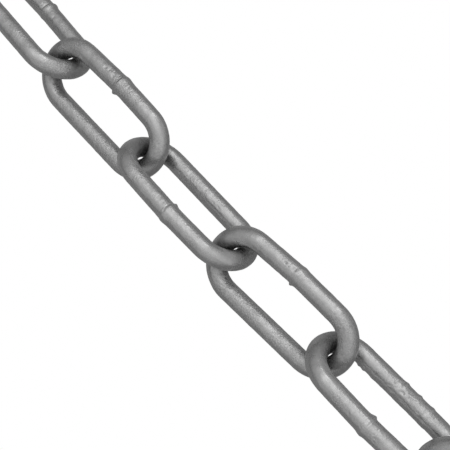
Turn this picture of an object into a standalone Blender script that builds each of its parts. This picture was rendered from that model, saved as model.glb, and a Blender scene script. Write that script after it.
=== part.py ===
"""One metre of welded long-link steel chain, lying straight on a floor.

Every link is a loop of round wire, butt-welded in the middle of one leg. Neighbouring links hook
through each other at about 80 degrees, so each lies on one leg with the other raised, to the left
and to the right in turn. Metres, +Z up, the chain along X, the floor at Z = 0.
"""

import math
from collections import namedtuple

import bmesh
import bpy
import numpy as np
from mathutils import Matrix

# Driving dimensions of one link of 6 x 42 x 24 mm chain, with its zinc coat
WIRE = 0.0061
INNER_LENGTH = 0.042
OUTER_WIDTH = 0.0247
LINKS = 24

# The weld: both halves of its leg lean outwards to it, and the hot ends are upset into a low collar
WELD_BOW = 0.00055
WELD_RISE = 0.00025
WELD_HALF_WIDTH = 0.0018
# The collar's outline along the leg: shares of its half width, and of its rise there
COLLAR_OUTLINE = ((-1.0, 0.0), (-0.45, 0.8), (0.0, 1.0), (0.45, 0.8), (1.0, 0.0))

# How finely the wire is faceted: an odd count of bends puts a flat facet in the middle of each crown
WIRE_SIDES = 12
CROWN_BENDS = 11
# A finer count of bends, for finding where two crowns come nearest
FINE_BENDS = 120

# A link's hinge lies this share of the way from the crown's middle to where the links bear at rest,
# because they slide back towards the middle as they swing
HINGE_SHARE = 0.25

# Clear distance between two round wires where the links bear on each other
CROWN_GAP = 0.00055
# The pitch is sought between these shares of the inner length, by this many halvings
LEAST_PITCH = 0.8
MOST_PITCH = 1.1
PITCH_HALVINGS = 30

# Derived sizes of the wire's centreline: two half-circle crowns joined by two legs
WIRE_RADIUS = WIRE / 2
CROWN_RADIUS = (OUTER_WIDTH - WIRE) / 2
HALF_LEG = (INNER_LENGTH + WIRE) / 2 - CROWN_RADIUS
# A polygon of this corner radius has the area of the round wire, so the faceted link weighs the same
CORNER_RADIUS = WIRE_RADIUS * math.sqrt(2 * math.pi / (WIRE_SIDES * math.sin(2 * math.pi / WIRE_SIDES)))

# heading and tilt in degrees; shift is how far the link sits to the left of its neighbour's line,
# weld_high says whether the weld is on the raised leg, and weld_at is its place along that leg
Lay = namedtuple("Lay", "heading tilt shift weld_high weld_at")

# The links in the middle of the chain lie less evenly than the rest
UNEVEN_LINKS = {
    9: Lay(-0.5, 39.6, 0.0, True, 0.0012),
    10: Lay(-1.2, 39.0, -0.0004, False, -0.0012),
    11: Lay(1.2, 39.2, -0.0013, True, 0.0008),
    12: Lay(0.9, 40.7, -0.0014, True, 0.0011),
    13: Lay(4.2, 37.8, -0.0014, True, -0.0005),
    14: Lay(2.5, 35.9, -0.0010, True, 0.0009),
    15: Lay(-1.5, 38.5, -0.0004, True, 0.0),
    16: Lay(-0.5, 39.6, 0.0, True, -0.0010),
}
USUAL_TILT = 40.0
TILT_SWING = 0.8
HEADING_SWING = 0.8
WELD_SWING = 0.0020
# Successive links differ by this much in phase, so that no two lie quite alike
PHASE_STEP = math.radians(137.5)


def lay_of(number):
    """How the link of this number lies."""
    if number in UNEVEN_LINKS:
        return UNEVEN_LINKS[number]
    phase = number * PHASE_STEP
    return Lay(
        heading=HEADING_SWING * math.sin(phase),
        tilt=USUAL_TILT + TILT_SWING * math.cos(phase),
        shift=0.0,
        weld_high=True,
        weld_at=WELD_SWING * math.sin(2 * phase),
    )


def crown_points(end, bends):
    """The centreline of one crown in the link's plane, from leg to leg; end is +1 or -1 along it."""
    angles = np.linspace(-math.pi / 2, math.pi / 2, bends + 1)
    along = HALF_LEG + CROWN_RADIUS * np.cos(angles)
    return np.column_stack([end * along, end * CROWN_RADIUS * np.sin(angles)])


def leg_stations(weld_at):
    """Places along the welded leg, as (along, bow outwards, rise of the wire's surface)."""
    stations = []
    for share, rise in COLLAR_OUTLINE:
        along = weld_at + share * WELD_HALF_WIDTH
        reach = HALF_LEG + math.copysign(weld_at, weld_at - along)
        bow = WELD_BOW * (1 - abs(along - weld_at) / reach)
        stations.append((along, bow, rise * WELD_RISE))
    return stations


def unit_rows(vectors):
    """Each row at length one."""
    return vectors / np.linalg.norm(vectors, axis=1)[:, None]


def link_points(weld_side, weld_at):
    """Corners of the faceted wire in the link's own axes, one ring of them for each station.

    X runs along the link, Y across it and Z out of its plane; weld_side is the sign of the welded leg.
    """
    centres = [(point, 0.0) for point in crown_points(1, CROWN_BENDS)]
    welded_leg = []
    for along, bow, rise in leg_stations(weld_at):
        welded_leg.append(((along, weld_side * (CROWN_RADIUS + bow)), rise))
    if weld_side > 0:
        centres += reversed(welded_leg)
    centres += [(point, 0.0) for point in crown_points(-1, CROWN_BENDS)]
    if weld_side < 0:
        centres += welded_leg
    path = np.array([point for point, _ in centres])
    radii = CORNER_RADIUS + np.array([rise for _, rise in centres])

    before = path - np.roll(path, 1, axis=0)
    after = np.roll(path, -1, axis=0) - path
    run = unit_rows(before) + unit_rows(after)
    run = unit_rows(run)
    outward = np.column_stack([run[:, 1], -run[:, 0]])

    turns = (np.arange(WIRE_SIDES) + 0.5) * 2 * math.pi / WIRE_SIDES
    rings = np.empty((len(path), WIRE_SIDES, 3))
    in_plane = radii[:, None] * np.cos(turns)
    rings[:, :, :2] = path[:, None] + in_plane[:, :, None] * outward[:, None]
    rings[:, :, 2] = radii[:, None] * np.sin(turns)
    return rings


def link_axes(lay, raised):
    """The link's own axes as the columns of a matrix; raised is 1 for a raised left leg, -1 for the right."""
    heading = math.radians(lay.heading)
    tilt = raised * math.radians(lay.tilt)
    along = np.array([math.cos(heading), math.sin(heading), 0.0])
    level = np.array([-math.sin(heading), math.cos(heading), 0.0])
    across = math.cos(tilt) * level + math.sin(tilt) * np.array([0.0, 0.0, 1.0])
    return np.column_stack([along, across, np.cross(along, across)])


def on_floor(axes, rings):
    """The height of the link's centre at which its lowest corner touches the floor."""
    return -(rings.reshape(-1, 3) @ axes.T)[:, 2].min()


def crown_line(axes, centre, end):
    """The centreline of one crown in space, finely divided."""
    flat = crown_points(end, FINE_BENDS)
    return centre + flat @ axes[:, :2].T


def nearest(line_a, line_b):
    """The least distance between two lines of points, and the two points' places in them."""
    apart = np.linalg.norm(line_a[:, None] - line_b[None], axis=2)
    place = np.unravel_index(apart.argmin(), apart.shape)
    return apart[place], place


def pulled_tight(axes, centre, next_axes, next_centre):
    """Slides the next link along X until the two crowns are a wire and the clear gap apart."""
    line = crown_line(axes, centre, 1)
    near, far = LEAST_PITCH * INNER_LENGTH, MOST_PITCH * INNER_LENGTH
    for _ in range(PITCH_HALVINGS):
        pitch = (near + far) / 2
        next_centre[0] = centre[0] + pitch
        apart, _ = nearest(line, crown_line(next_axes, next_centre, -1))
        if apart > WIRE + CROWN_GAP:
            near = pitch
        else:
            far = pitch
    return next_centre


def laid_links():
    """Every link's axes, centre and rings of corners, the chain's box centred on X = Y = 0."""
    links = []
    for number in range(1, LINKS + 1):
        lay = lay_of(number)
        raised = 1 if number % 2 else -1
        weld_side = raised if lay.weld_high else -raised
        rings = link_points(weld_side, lay.weld_at)
        axes = link_axes(lay, raised)
        centre = np.array([0.0, 0.0, on_floor(axes, rings)])
        if links:
            before_axes, before_centre, _ = links[-1]
            centre[1] = before_centre[1] + INNER_LENGTH / 2 * (before_axes[1, 0] + axes[1, 0]) + lay.shift
            centre = pulled_tight(before_axes, before_centre, axes, centre)
        links.append((axes, centre, rings))
    corners = np.concatenate([rings.reshape(-1, 3) @ axes.T + centre for axes, centre, rings in links])
    middle = (corners.min(axis=0) + corners.max(axis=0)) / 2
    middle[2] = 0.0
    return [(axes, centre - middle, rings) for axes, centre, rings in links]


def swing_axis(link, next_link):
    """The hinge that the next link hangs on: a point in this crown's wire, and the wire's run there."""
    line = crown_line(link[0], link[1], 1)
    _, (bearing, _) = nearest(line, crown_line(next_link[0], next_link[1], -1))
    middle = FINE_BENDS // 2
    place = middle + round(HINGE_SHARE * (int(bearing) - middle))
    run = line[place + 1] - line[place - 1]
    return line[place], run / np.linalg.norm(run)


def zinc_material():
    """Dull, hot-dipped zinc on steel wire."""
    material = bpy.data.materials.new("galvanised_steel")
    material.use_nodes = True
    shader = material.node_tree.nodes["Principled BSDF"]
    shader.inputs["Base Color"].default_value = (0.42, 0.42, 0.43, 1.0)
    shader.inputs["Metallic"].default_value = 0.8
    shader.inputs["Roughness"].default_value = 0.5
    return material


def link_mesh(name, rings, material):
    """A closed tube through the rings, round the loop and back to the first."""
    mesh = bpy.data.meshes.new(name)
    loop = bmesh.new()
    corners = [[loop.verts.new(corner) for corner in ring] for ring in rings]
    for ring, next_ring in zip(corners, corners[1:] + corners[:1]):
        for side in range(WIRE_SIDES):
            other = (side + 1) % WIRE_SIDES
            loop.faces.new((ring[side], next_ring[side], next_ring[other], ring[other]))
    bmesh.ops.recalc_face_normals(loop, faces=loop.faces)
    loop.to_mesh(mesh)
    loop.free()
    mesh.shade_smooth()
    mesh.materials.append(material)
    return mesh


def placed(obj, axes, centre, parent):
    """Puts an object in its place in space, held by its parent."""
    bpy.context.scene.collection.objects.link(obj)
    place = Matrix.Translation(centre) @ Matrix(axes.tolist()).to_4x4()
    if parent:
        obj.parent = parent
        bpy.context.view_layer.update()
        obj.matrix_parent_inverse = parent.matrix_world.inverted()
    obj.matrix_basis = place
    return obj


def build_chain():
    """Link after link, each held by an empty on the crown that it hangs on."""
    material = zinc_material()
    links = laid_links()
    held_by = None
    for number, link in enumerate(links, 1):
        axes, centre, rings = link
        name = f"link_{number:02d}"
        if number > 1:
            pivot, run = swing_axis(links[number - 2], link)
            across = np.cross(run, [0.0, 0.0, 1.0])
            across /= np.linalg.norm(across)
            hinge_axes = np.column_stack([run, across, np.cross(run, across)])
            held_by = placed(bpy.data.objects.new(f"swing_{number:02d}", None), hinge_axes, pivot, held_by)
        obj = bpy.data.objects.new(name, link_mesh(name, rings, material))
        held_by = placed(obj, axes, centre, held_by)


def clear_scene():
    for obj in list(bpy.data.objects):
        bpy.data.objects.remove(obj)


if __name__ == "__main__":
    clear_scene()
    build_chain()
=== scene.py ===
import math
from collections import namedtuple

import bmesh
import bpy
import numpy as np
from mathutils import Matrix, Vector


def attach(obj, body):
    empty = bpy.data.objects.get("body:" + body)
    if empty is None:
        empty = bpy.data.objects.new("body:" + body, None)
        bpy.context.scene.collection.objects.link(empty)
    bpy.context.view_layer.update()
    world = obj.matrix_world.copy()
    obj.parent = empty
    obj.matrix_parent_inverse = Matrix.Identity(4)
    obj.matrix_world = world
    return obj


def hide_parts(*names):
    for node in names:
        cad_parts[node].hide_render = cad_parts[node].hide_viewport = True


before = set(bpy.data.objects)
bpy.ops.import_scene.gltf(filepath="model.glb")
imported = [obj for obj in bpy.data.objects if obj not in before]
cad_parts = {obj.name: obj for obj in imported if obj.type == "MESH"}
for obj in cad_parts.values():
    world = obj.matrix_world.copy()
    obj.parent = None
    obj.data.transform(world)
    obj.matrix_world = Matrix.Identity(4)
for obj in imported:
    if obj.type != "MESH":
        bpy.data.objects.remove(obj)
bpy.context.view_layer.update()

# The links as they lie.
# Each is a closed loop of steel wire that rests on one leg and leans on its neighbours' crowns.
# Where a link lies, and which leg it was welded on, is read from its CAD node.

# Corners beyond this share of a link's half length belong to its crowns, and the rest to its weld
CROWNS_BEYOND = 0.5


class LyingLink:
    """A link's place: its centre, its own axes, and the side and place of its weld."""

    def __init__(self, node):
        corners = np.array([vertex.co for vertex in node.data.vertices], float)
        crowns = corners
        # The first pass takes in the weld, which pulls the axes askew; the second uses only the crowns
        for _ in range(2):
            self.centre = crowns.mean(axis=0)
            _, _, own_axes = np.linalg.svd(crowns - self.centre, full_matrices=False)
            along = abs((corners - self.centre) @ own_axes[0])
            on_crown = along > CROWNS_BEYOND * along.max()
            crowns = corners[on_crown]
        # X runs with the chain, and Y to its left
        run = own_axes[0] * math.copysign(1, own_axes[0][0])
        across = own_axes[1] * math.copysign(1, own_axes[1][1])
        self.axes = np.column_stack([run, across, np.cross(run, across)])
        weld = ((corners - self.centre) @ self.axes)[~on_crown].mean(axis=0)
        self.weld_at = weld[0]
        self.weld_side = math.copysign(1, weld[1])

    def placed(self, points):
        """Points of a loose link, its welded leg at +Y, put where this link lies; Z may be left out."""
        count = points.shape[1]
        return points * (1, self.weld_side, 1)[:count] @ self.axes[:, :count].T + self.centre


# Bent wire.
# Drawn steel wire is cut and bent round until its ends meet in the middle of one leg, ready for the
# welder. The bending leaves that leg leaning outwards to the joint. Sizes are in metres.
WIRE_RADIUS = 0.00305
CROWN_RADIUS = 0.0093
HALF_LEG = 0.01475
JOINT_LEAN = 0.00055
BEND_EASE = 0.0008
CENTRELINE_STEP = 0.0001

# The inside of a bend thickens as the wire is pushed together there, up to this much. It has set in
# fully this share of the crown's radius past the leg
BEND_SWELL = 0.00012
SWELL_SETS_IN = 0.5

# Nearer to the joint than this, the rings' step is this share of the usual one
JOINT_REACH = 0.005
JOINT_SHARE = 0.5
# Rings go on until they come within this share of a step from the first
CLOSING_SHARE = 0.6


def straight(start, end):
    """Points from start up to, but not including, end."""
    start, end = np.array(start), np.array(end)
    count = int(np.linalg.norm(end - start) / CENTRELINE_STEP)
    return start + (end - start) * (np.arange(count) / count)[:, None]


def half_round(end):
    """The points of one crown; end is +1 or -1 along the link."""
    angle = np.arange(0, math.pi, CENTRELINE_STEP / CROWN_RADIUS)
    if end < 0:
        angle = angle[::-1]
    return np.column_stack([
        end * (HALF_LEG + CROWN_RADIUS * np.sin(angle)),
        CROWN_RADIUS * np.cos(angle),
    ])


def eased(points, reach):
    """A closed line with its corners worn round over that reach."""
    steps = np.arange(len(points))
    steps = np.minimum(steps, len(points) - steps) * CENTRELINE_STEP
    weight = np.exp(-0.5 * (steps / reach) ** 2)
    weight /= weight.sum()
    spectrum = np.fft.rfft(points, axis=0) * np.fft.rfft(weight)[:, None]
    return np.fft.irfft(spectrum, len(points), axis=0)


def bent_blank(weld_at):
    """The wire's closed centreline from the joint round and back, the jointed leg at +Y."""
    joint = (weld_at, CROWN_RADIUS + JOINT_LEAN)
    line = np.concatenate([
        straight(joint, (HALF_LEG, CROWN_RADIUS)),
        half_round(1),
        straight((HALF_LEG, -CROWN_RADIUS), (-HALF_LEG, -CROWN_RADIUS)),
        half_round(-1),
        straight((-HALF_LEG, CROWN_RADIUS), joint),
    ])
    return eased(line, BEND_EASE)


def ring_places(length, step):
    """Distances along the wire for its rings, closer together beside the joint."""
    places = [0.0]
    while places[-1] < length - CLOSING_SHARE * step:
        from_joint = min(places[-1], length - places[-1])
        places.append(places[-1] + (JOINT_SHARE * step if from_joint < JOINT_REACH else step))
    return np.array(places)


def wire_rings(line, step):
    """The wire's length, its rings' distances along it, their centres and their outward directions."""
    closed_line = np.vstack([line, line[:1]])
    run = np.concatenate([[0.0], np.cumsum(np.linalg.norm(np.diff(closed_line, axis=0), axis=1))])
    length = run[-1]
    distance = ring_places(length, step)
    centres = np.column_stack([np.interp(distance, run, closed_line[:, axis]) for axis in (0, 1)])
    heading = np.roll(line, -1, axis=0) - np.roll(line, 1, axis=0)
    heading = np.vstack([heading, heading[:1]])
    heading = np.column_stack([np.interp(distance, run, heading[:, axis]) for axis in (0, 1)])
    heading /= np.linalg.norm(heading, axis=1)[:, None]
    outward = np.column_stack([-heading[:, 1], heading[:, 0]])
    return length, distance, centres, outward


def bend_swell(centres, turn):
    """How much thicker the wire is on the inside of a crown; turn is 0 on the link's outer side."""
    round_crown = np.clip((abs(centres[:, 0]) - HALF_LEG) / (SWELL_SETS_IN * CROWN_RADIUS), 0, 1)
    return BEND_SWELL * round_crown[:, None] * np.clip(-np.cos(turn), 0, 1) ** 2


# Butt welds.
# The hot ends are pressed together, which upsets them into a low uneven bead beside the seam. The
# tool trims it outside and leaves a burr on the inner side. No two welds come out alike.
MM = 0.001
# An aside this wide takes a mark right round the wire
RING = 30

# A bump, or a pit where it rises below zero, in millimetres and degrees. at is its place along the
# wire, from the weld towards the link's near end and on round it. turn is its place round the wire,
# from the link's outer side towards its upper face. The rest are its reaches
Mark = namedtuple("Mark", "at turn rise before after aside")


def hump(distance, reach):
    """1 in the middle, falling smoothly to nothing somewhat beyond the reach."""
    return np.exp(-((distance / reach) ** 2))


def mark_relief(mark, along, length, turn):
    """How far one bump or pit lifts the surface; along is the distance from the weld, out of length."""
    away = ((along - mark.at * MM + length / 2) % length - length / 2) / MM
    reach = np.where(away < 0, mark.before, mark.after)
    round_wire = (turn - math.radians(mark.turn) + math.pi) % math.tau - math.pi
    aside = WIRE_RADIUS / MM * round_wire
    return mark.rise * MM * hump(away, reach) * hump(aside, mark.aside)


def chance_weld(chance):
    """A seam, a bead, a burr inside and a bump outside, as the tool happened to leave them."""
    def within(low, high):
        return chance.uniform(low, high)

    seam = Mark(
        at=within(-1.4, -1.0), turn=within(0, 180), rise=-0.10,
        before=0.18, after=0.22, aside=within(2.0, 5.0),
    )
    bead = Mark(
        at=within(-0.4, 0.0), turn=0, rise=0.12,
        before=within(0.5, 0.8), after=within(1.2, 1.6), aside=RING,
    )
    burr = Mark(
        at=within(-0.4, 0.2), turn=within(130, 165), rise=within(0.30, 0.42),
        before=within(0.3, 0.9), after=within(0.4, 1.0), aside=1.1,
    )
    bump = Mark(
        at=within(-0.2, 0.6), turn=within(-50, -15), rise=0.10,
        before=0.9, after=1.0, aside=1.8,
    )
    return [seam, bead, burr, bump]


# Zinc coat.
# The finished links are dipped in molten zinc and spun. The coat is dull grey and uneven: low
# lumps, dimples and grain. Where links meet, on the faces that look at each other, the colour is
# darkened with painted shade and some dirt.

# Low swellings of the coat, in metres: their usual height, and the least and greatest wavelength
Layer = namedtuple("Layer", "height finest coarsest")
LUMPS = Layer(0.000012, 0.0025, 0.012)
DIMPLES = Layer(0.000008, 0.0007, 0.0025)
# How far the painted shade and dirt between links reaches past the wire, in metres
PAINTED_SHADE_AND_DIRT_REACH = 0.007

# The pits and grains of a rough coat, in millimetres
PIT_RISES = (-0.12, 0.06)
PIT_REACHES = (0.18, 0.36)

# A stretch of rough coat: its link, from first to last along the wire, from low to high round it,
# its count of pits, and how much larger than usual they are. Places are stated as a Mark's are
RoughBand = namedtuple("RoughBand", "link first last low high pits size")
ROUGH_BANDS = [
    RoughBand(11, -7.0, -1.5, 30, 65, 30, 1.0),
    RoughBand(11, 3.0, 7.0, 35, 60, 12, 1.0),
    RoughBand(12, 50.0, 66.0, 110, 150, 20, 1.0),
    RoughBand(12, -14.0, -3.0, 100, 150, 9, 3.0),
    RoughBand(13, -7.5, -2.0, 40, 62, 14, 1.0),
    RoughBand(13, 70.0, 78.0, 90, 150, 16, 1.0),
    RoughBand(14, -7.0, 7.0, 8, 36, 40, 1.0),
    RoughBand(14, 46.0, 64.0, 60, 140, 110, 1.2),
    RoughBand(14, 46.0, 72.0, -160, -110, 40, 1.0),
    RoughBand(14, 44.0, 74.0, 150, 230, 90, 1.5),
    RoughBand(14, 44.0, 74.0, -170, -110, 16, 4.0),
]


def rough_marks(number, chance):
    """Small pits and grains scattered over the rough bands of that link."""
    marks = []
    for band in ROUGH_BANDS:
        if band.link != number:
            continue
        for _ in range(band.pits):
            at, turn = chance.uniform((band.first, band.low), (band.last, band.high))
            before, after, aside = chance.uniform(*PIT_REACHES, 3) * band.size
            marks.append(Mark(at, turn, chance.uniform(*PIT_RISES), before, after, aside))
    return marks


def zinc_layer(layer, rows, sides, row_step, side_step, chance):
    """A closed field of lumps over the wire's surface, of a height and between two wavelengths."""
    spectrum = np.fft.fft2(chance.normal(size=(rows, sides)))
    waves = np.hypot(np.fft.fftfreq(rows, row_step)[:, None], np.fft.fftfreq(sides, side_step)[None])
    spectrum *= np.exp(-((waves * layer.finest) ** 2)) * (1 - np.exp(-((waves * layer.coarsest) ** 2)))
    field = np.fft.ifft2(spectrum).real
    return layer.height * field / field.std()


def coated(radius, distance, length, step, chance):
    """The radii of the wire's rings with the coat's lumps and dimples on them."""
    rows, sides = round(length / step), radius.shape[1]
    place = distance / length * rows
    row = place.astype(int)
    share = (place - row)[:, None]
    for layer in (LUMPS, DIMPLES):
        field = zinc_layer(layer, rows, sides, step, math.tau * WIRE_RADIUS / sides, chance)
        radius = radius + field[row % rows] * (1 - share) + field[(row + 1) % rows] * share
    return radius


def painted_shade_and_dirt_between(points, outwards, neighbours):
    """1 where a face looks straight at a wire that touches it, fading to 0 over the reach: the mask of
    the painted shade and dirt between links.
    """
    nearest = np.full(len(points), np.inf)
    facing = np.zeros(len(points))
    for wire in neighbours:
        for middle in wire:
            offset = middle - points
            apart = np.linalg.norm(offset, axis=1)
            nearer = apart < nearest
            nearest[nearer] = apart[nearer]
            facing[nearer] = (offset[nearer] * outwards[nearer]).sum(axis=1) / apart[nearer]
    return np.clip(1 - (nearest - WIRE_RADIUS) / PAINTED_SHADE_AND_DIRT_REACH, 0, 1) * np.clip(facing, 0, 1)


def galvanised_steel():
    """Dull zinc: satin grey with patches of coarse bright and dark grain, darkened with painted shade
    and dirt where links meet.
    """
    material = bpy.data.materials.new("galvanised_steel")
    material.use_nodes = True
    nodes, links = material.node_tree.nodes, material.node_tree.links
    shader = nodes["Principled BSDF"]
    shader.inputs["Metallic"].default_value = 0.75

    place = nodes.new("ShaderNodeTexCoord")

    def noise(per_metre, detail, roughness=0.5):
        """Noise about the middle of 0 to 1, with that many swells to the metre."""
        node = nodes.new("ShaderNodeTexNoise")
        node.inputs["Scale"].default_value = per_metre
        node.inputs["Detail"].default_value = detail
        node.inputs["Roughness"].default_value = roughness
        links.new(place.outputs["Object"], node.inputs["Vector"])
        return node.outputs["Fac"]

    def spread(value, low_high, to_low_high):
        """The value's range from low to high, spread over another and held there."""
        node = nodes.new("ShaderNodeMapRange")
        node.inputs["From Min"].default_value, node.inputs["From Max"].default_value = low_high
        node.inputs["To Min"].default_value, node.inputs["To Max"].default_value = to_low_high
        links.new(value, node.inputs["Value"])
        return node.outputs["Result"]

    def times(first, second, more=0.0):
        """The first times the second, and so much more."""
        node = nodes.new("ShaderNodeMath")
        node.operation = "MULTIPLY_ADD"
        links.new(first, node.inputs[0])
        links.new(second, node.inputs[1])
        node.inputs[2].default_value = more
        return node.outputs["Value"]

    # Grey that drifts a little, speckled with fine grain that is stronger in patches
    patches = noise(90, 3, 0.6)
    grey = spread(noise(260, 5, 0.6), (0.3, 0.7), (0.44, 0.53))
    grains = spread(noise(2200, 2, 0.6), (0.25, 0.75), (-1.0, 1.0))
    speckle = times(grains, spread(patches, (0.46, 0.60), (0.08, 0.27)), 1.0)

    # Painted shade and uneven dirt where links meet, which take off up to two thirds of the brightness
    between_links = nodes.new("ShaderNodeAttribute")
    between_links.attribute_name = "shade_and_dirt_near_next_link"
    painted_shade_and_dirt = times(between_links.outputs["Fac"], spread(noise(1100, 3, 0.6), (0.35, 0.65), (0.6, 1.3)))
    left_after_shade_and_dirt = spread(painted_shade_and_dirt, (0.22, 0.80), (1.0, 0.32))
    links.new(times(times(grey, speckle), left_after_shade_and_dirt), shader.inputs["Base Color"])

    links.new(spread(noise(420, 3), (0.3, 0.7), (0.23, 0.34)), shader.inputs["Roughness"])

    # Crystals of zinc, which stand up most in the same patches
    bump = nodes.new("ShaderNodeBump")
    bump.inputs["Distance"].default_value = 0.0002
    links.new(spread(patches, (0.50, 0.62), (0.12, 0.9)), bump.inputs["Strength"])
    links.new(noise(2300, 2, 0.55), bump.inputs["Height"])
    links.new(bump.outputs["Normal"], shader.inputs["Normal"])
    return material


# The finished links.
# One piece for each, in the place of its CAD node and riding on that link's body. Those in the
# middle of the length are seen closest: their surface is finer, and most have marks of their own.
CLOSE_LINKS = range(10, 16)

# How many corners a ring has, and how far apart the rings are, in metres
Fineness = namedtuple("Fineness", "sides step")
CLOSE_SURFACE = Fineness(100, 0.00030)
FAR_SURFACE = Fineness(48, 0.00046)
# The painted shade and dirt between links is measured from every eighth point of the neighbours'
# centrelines
SHADE_AND_DIRT_STRIDE = 8

# Each weld's seam, bead, burr and outer bump, and then folds, pits and scratches on the whole link
LINK_MARKS = {
    10: [
        Mark(-1.25, 135, -0.14, 0.15, 0.20, 4.0),
        Mark(-0.50, 0, 0.16, 0.55, 1.20, RING),
        Mark(-0.20, 45, 0.26, 0.75, 0.80, 2.2),
        Mark(0.30, 125, 0.08, 0.80, 0.70, 1.2),
        Mark(4.30, 137, -0.12, 0.35, 0.35, 0.40),
        Mark(4.95, 149, 0.08, 0.30, 0.40, 0.35),
        Mark(5.40, 71, 0.08, 0.80, 0.30, 0.8),
    ],
    11: [
        Mark(-1.15, 88, -0.07, 0.22, 0.30, 1.3),
        Mark(-0.55, 45, -0.06, 0.18, 0.25, 0.9),
        Mark(0.10, 0, 0.17, 0.60, 1.40, RING),
        Mark(-0.30, 152, 0.58, 0.36, 1.00, 1.2),
        Mark(0.70, -15, 0.08, 0.90, 1.00, 1.8),
        Mark(0.00, 56, 0.13, 0.40, 0.60, 0.7),
        Mark(1.55, 49, -0.10, 0.22, 0.22, 0.25),
        Mark(-2.85, 45, -0.08, 0.30, 0.30, 0.30),
        Mark(-2.40, 63, -0.08, 0.35, 0.25, 0.35),
        Mark(-1.45, 35, -0.08, 0.25, 0.30, 0.30),
        Mark(5.70, 54, 0.03, 3.60, 3.60, 0.22),
    ],
    12: [
        Mark(-1.40, 32, -0.08, 0.15, 0.18, 0.7),
        Mark(-1.00, 75, -0.10, 0.15, 0.18, 1.4),
        Mark(-0.10, 0, 0.12, 0.60, 1.60, RING),
        Mark(-0.25, 130, 0.40, 0.45, 0.90, 1.1),
        Mark(0.65, -47, 0.10, 0.90, 1.00, 1.8),
        Mark(-0.45, 31, 0.06, 0.85, 0.85, 0.80),
        Mark(-0.45, 31, -0.16, 0.30, 0.30, 0.32),
        Mark(3.90, 76, 0.02, 2.60, 2.60, 0.20),
    ],
    13: [
        Mark(1.10, 62, -0.05, 0.20, 0.22, 1.2),
        Mark(0.00, 0, 0.10, 0.80, 1.40, RING),
        Mark(-0.20, 153, 0.50, 0.36, 0.80, 1.2),
        Mark(0.50, -24, 0.08, 0.80, 1.00, 1.8),
        Mark(0.40, 60, 0.05, 0.30, 0.30, 0.5),
        Mark(-1.35, 51, -0.26, 0.42, 0.42, 0.42),
        Mark(-1.35, 51, 0.22, 0.20, 0.20, 0.20),
        Mark(-4.50, 53, -0.18, 0.90, 0.80, 0.22),
        Mark(-4.40, 43, 0.03, 1.40, 1.20, 0.25),
        Mark(-4.60, 64, 0.03, 1.40, 1.20, 0.25),
        Mark(16.20, 70, 0.05, 0.14, 0.14, 3.0),
    ],
    14: [
        Mark(0.10, 60, -0.08, 0.22, 0.30, 1.0),
        Mark(-0.10, 0, 0.12, 1.20, 0.80, RING),
        Mark(-0.10, 134, 0.50, 1.30, 0.45, 1.2),
        Mark(-0.15, -43, 0.18, 1.00, 1.20, 1.8),
        Mark(57.80, 62, 0.34, 0.50, 1.00, 1.0),
        Mark(52.90, 60, 0.30, 0.50, 0.80, 1.0),
        Mark(48.20, 60, 0.26, 0.60, 0.80, 1.0),
        Mark(69.70, -134, 0.30, 0.60, 0.70, 1.0),
        Mark(71.50, -134, 0.26, 0.50, 0.50, 1.0),
        Mark(66.50, -134, 0.16, 1.20, 0.80, 1.0),
        Mark(54.80, 130, -0.22, 0.50, 0.40, 0.35),
        Mark(57.00, 134, -0.20, 0.40, 0.60, 0.35),
        Mark(60.30, 124, -0.20, 0.50, 0.40, 0.30),
    ],
}


def tube_faces(count, sides):
    """The corners of each face of a closed tube, whose corners are counted ring after ring."""
    ring, side = np.meshgrid(np.arange(count), np.arange(sides), indexing="ij")
    next_ring, next_side = (ring + 1) % count, (side + 1) % sides
    return np.stack([
        ring * sides + side, next_ring * sides + side,
        next_ring * sides + next_side, ring * sides + next_side,
    ], axis=-1).reshape(-1, 4)


zinc = galvanised_steel()
names = sorted(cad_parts)
lying = [LyingLink(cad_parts[name]) for name in names]
blanks = [bent_blank(link.weld_at) for link in lying]
wires = [link.placed(blank[::SHADE_AND_DIRT_STRIDE]) for link, blank in zip(lying, blanks)]
for number, (name, link, blank) in enumerate(zip(names, lying, blanks), 1):
    chance = np.random.default_rng(number)
    sides, step = CLOSE_SURFACE if number in CLOSE_LINKS else FAR_SURFACE
    length, distance, centres, outward = wire_rings(blank, step)

    turn = np.arange(sides) * 2 * math.pi / sides
    radius = WIRE_RADIUS + bend_swell(centres, turn)
    marks = LINK_MARKS.get(number) or chance_weld(chance)
    for mark in marks + rough_marks(number, chance):
        radius = radius + mark_relief(mark, distance[:, None], length, turn)
    radius = coated(radius, distance, length, step, chance)

    rings = np.empty((len(distance), sides, 3))
    rings[:, :, :2] = centres[:, None] + (radius * np.cos(turn))[:, :, None] * outward[:, None]
    rings[:, :, 2] = radius * np.sin(turn)
    points = link.placed(rings.reshape(-1, 3))
    faces = tube_faces(len(distance), sides)
    # A link welded on its right leg is mirrored, so its faces are turned the right way out again
    if link.weld_side < 0:
        faces = faces[:, ::-1]
    mesh = bpy.data.meshes.new(f"chain_{name}")
    mesh.from_pydata(points.tolist(), [], faces.tolist())
    mesh.shade_smooth()
    mesh.materials.append(zinc)

    outwards = points - np.repeat(link.placed(centres), sides, axis=0)
    outwards /= np.linalg.norm(outwards, axis=1)[:, None]
    neighbours = wires[max(number - 2, 0):number - 1] + wires[number:number + 1]
    # Painted shade and some dirt, darkest where a face looks at a neighbouring link's wire close by
    painted_shade_and_dirt = painted_shade_and_dirt_between(points, outwards, neighbours)
    mesh.attributes.new("shade_and_dirt_near_next_link", "FLOAT", "POINT").data.foreach_set("value", painted_shade_and_dirt)

    piece = bpy.data.objects.new(f"chain_{name}", mesh)
    bpy.context.scene.collection.objects.link(piece)
    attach(piece, name)
    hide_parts(name)


# Camera.
# It looks down on the middle of the chain, with the chain across the picture's diagonal.
EYE = Vector((0.08195, -0.05126, 0.29916))
LOOK = Vector((-0.29163, 0.17303, -0.94075))
PICTURE_UP = Vector((-0.70353, 0.62754, 0.33352))
LENS_MM = 83.70
FILM_MM = 36
NEAREST_SEEN = 0.01

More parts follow.
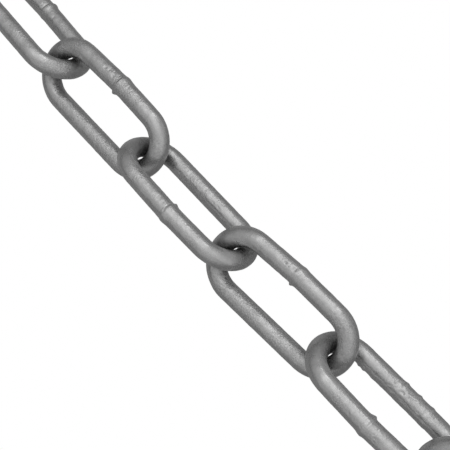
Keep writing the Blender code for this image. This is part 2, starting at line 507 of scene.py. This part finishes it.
camera_data = bpy.data.cameras.new("camera")
camera_data.lens = LENS_MM
camera_data.sensor_width = FILM_MM
camera_data.clip_start = NEAREST_SEEN
camera = bpy.data.objects.new("camera", camera_data)
right = LOOK.cross(PICTURE_UP).normalized()
up = right.cross(LOOK).normalized()
camera_axes = Matrix((right, up, -LOOK.normalized())).transposed()
camera.matrix_world = Matrix.Translation(EYE) @ camera_axes.to_4x4()
bpy.context.scene.collection.objects.link(camera)
bpy.context.scene.camera = camera


# Floor and backdrop.
# A white studio tent whose flat floor runs on into a dome, as bright as the picture's ground. It
# stands well below the chain, so that it doesn't hide a length that swings down.
FLOOR_DROP = 0.6
TENT_RADIUS = 6.0

tent_form = bmesh.new()
bmesh.ops.create_uvsphere(tent_form, u_segments=48, v_segments=24, radius=TENT_RADIUS)
for vertex in tent_form.verts:
    vertex.co.z = max(vertex.co.z, -FLOOR_DROP)
tent_mesh = bpy.data.meshes.new("tent")
tent_form.to_mesh(tent_mesh)
tent_form.free()
paper = bpy.data.materials.new("white_paper")
paper.use_nodes = True
paper_shader = paper.node_tree.nodes["Principled BSDF"]
paper_shader.inputs["Base Color"].default_value = (0, 0, 0, 1)
paper_shader.inputs["Specular IOR Level"].default_value = 0
paper_shader.inputs["Emission Color"].default_value = (1, 1, 1, 1)
paper_shader.inputs["Emission Strength"].default_value = 1.0
tent_mesh.materials.append(paper)
tent = bpy.data.objects.new("tent", tent_mesh)
bpy.context.scene.collection.objects.link(tent)
# The camera sees the paper, and the metal is lit by the lamps, the room and the ground alone
tent.visible_diffuse = tent.visible_glossy = tent.visible_shadow = False


# Studio light.
# A softbox hangs over the chain, brightest to its left and towards its far end, where a narrow
# harder lamp joins it. The room behind them is dimmer, and the ground below is dark grey.
scene = bpy.context.scene
scene.view_settings.view_transform = "Standard"
world = bpy.data.worlds.new("room")
world.use_nodes = True
scene.world = world
room_nodes, room_links = world.node_tree.nodes, world.node_tree.links
direction = room_nodes.new("ShaderNodeTexCoord")
parts = room_nodes.new("ShaderNodeSeparateXYZ")
room_links.new(direction.outputs["Generated"], parts.inputs["Vector"])


def brightness(axis, stops):
    """Brightness against the lean from overhead along an axis, given as degrees and levels."""
    lean = room_nodes.new("ShaderNodeMath")
    lean.operation = "ARCTAN2"
    room_links.new(parts.outputs[axis], lean.inputs[0])
    room_links.new(parts.outputs["Z"], lean.inputs[1])
    turned = room_nodes.new("ShaderNodeMapRange")
    turned.inputs["From Min"].default_value = -math.pi / 2
    turned.inputs["From Max"].default_value = math.pi / 2
    room_links.new(lean.outputs["Value"], turned.inputs["Value"])
    ramp = room_nodes.new("ShaderNodeValToRGB")
    while len(ramp.color_ramp.elements) < len(stops):
        ramp.color_ramp.elements.new(0.5)
    for stop, (degrees, level) in zip(ramp.color_ramp.elements, stops):
        stop.position = (degrees + 90) / 180
        stop.color = (level, level, level, 1)
    room_links.new(turned.outputs["Result"], ramp.inputs["Fac"])
    return ramp.outputs["Color"]


def combined(operation, first, second):
    """Two brightnesses, multiplied or added."""
    node = room_nodes.new("ShaderNodeMath")
    node.operation = operation
    room_links.new(first, node.inputs[0])
    room_links.new(second, node.inputs[1])
    return node.outputs["Value"]


# Across the chain, from its right to its left, and along it, from its far end to its near one
softbox = combined(
    "MULTIPLY",
    brightness("Y", [
        (-50, 0.0), (-30, 0.20), (-10, 0.70), (10, 1.06), (26, 1.02), (34, 0.45), (46, 0.3), (50, 0.0),
    ]),
    brightness("X", [(-32, 0.0), (-18, 1.02), (-10, 1.0), (-4, 0.68), (25, 0.30)]),
)
lamp = combined(
    "MULTIPLY",
    brightness("Y", [(26, 0.0), (34, 0.57), (40, 1.90), (46, 1.90), (50, 0.0)]),
    brightness("X", [(-32, 0.0), (-18, 1.0), (-12, 1.0), (-5, 0.0)]),
)
room = combined(
    "MULTIPLY",
    brightness("Y", [(-90, 0.48), (-45, 0.55), (0, 0.52), (45, 0.46), (90, 0.45)]),
    brightness("X", [(-90, 0.2), (-62, 0.6), (-40, 1.0), (45, 1.0), (90, 0.8)]),
)

# Below the horizon the metal mirrors the ground, which is darker towards the chain's near end
GROUND_FAR = 0.31
GROUND_NEAR = 0.17
# The ground fades into the room over this height below the horizon
HORIZON_FADE = 0.1

ground = room_nodes.new("ShaderNodeMapRange")
ground.inputs["From Min"].default_value = -1.0
ground.inputs["To Min"].default_value = GROUND_FAR
ground.inputs["To Max"].default_value = GROUND_NEAR
room_links.new(parts.outputs["X"], ground.inputs["Value"])
above_ground = room_nodes.new("ShaderNodeMapRange")
above_ground.inputs["From Min"].default_value = -HORIZON_FADE
above_ground.inputs["From Max"].default_value = 0.0
room_links.new(parts.outputs["Z"], above_ground.inputs["Value"])
light = room_nodes.new("ShaderNodeMix")
room_links.new(above_ground.outputs["Result"], light.inputs["Factor"])
room_links.new(ground.outputs["Result"], light.inputs["A"])
room_links.new(combined("ADD", combined("ADD", softbox, lamp), room), light.inputs["B"])
room_links.new(light.outputs["Result"], room_nodes["Background"].inputs["Color"])
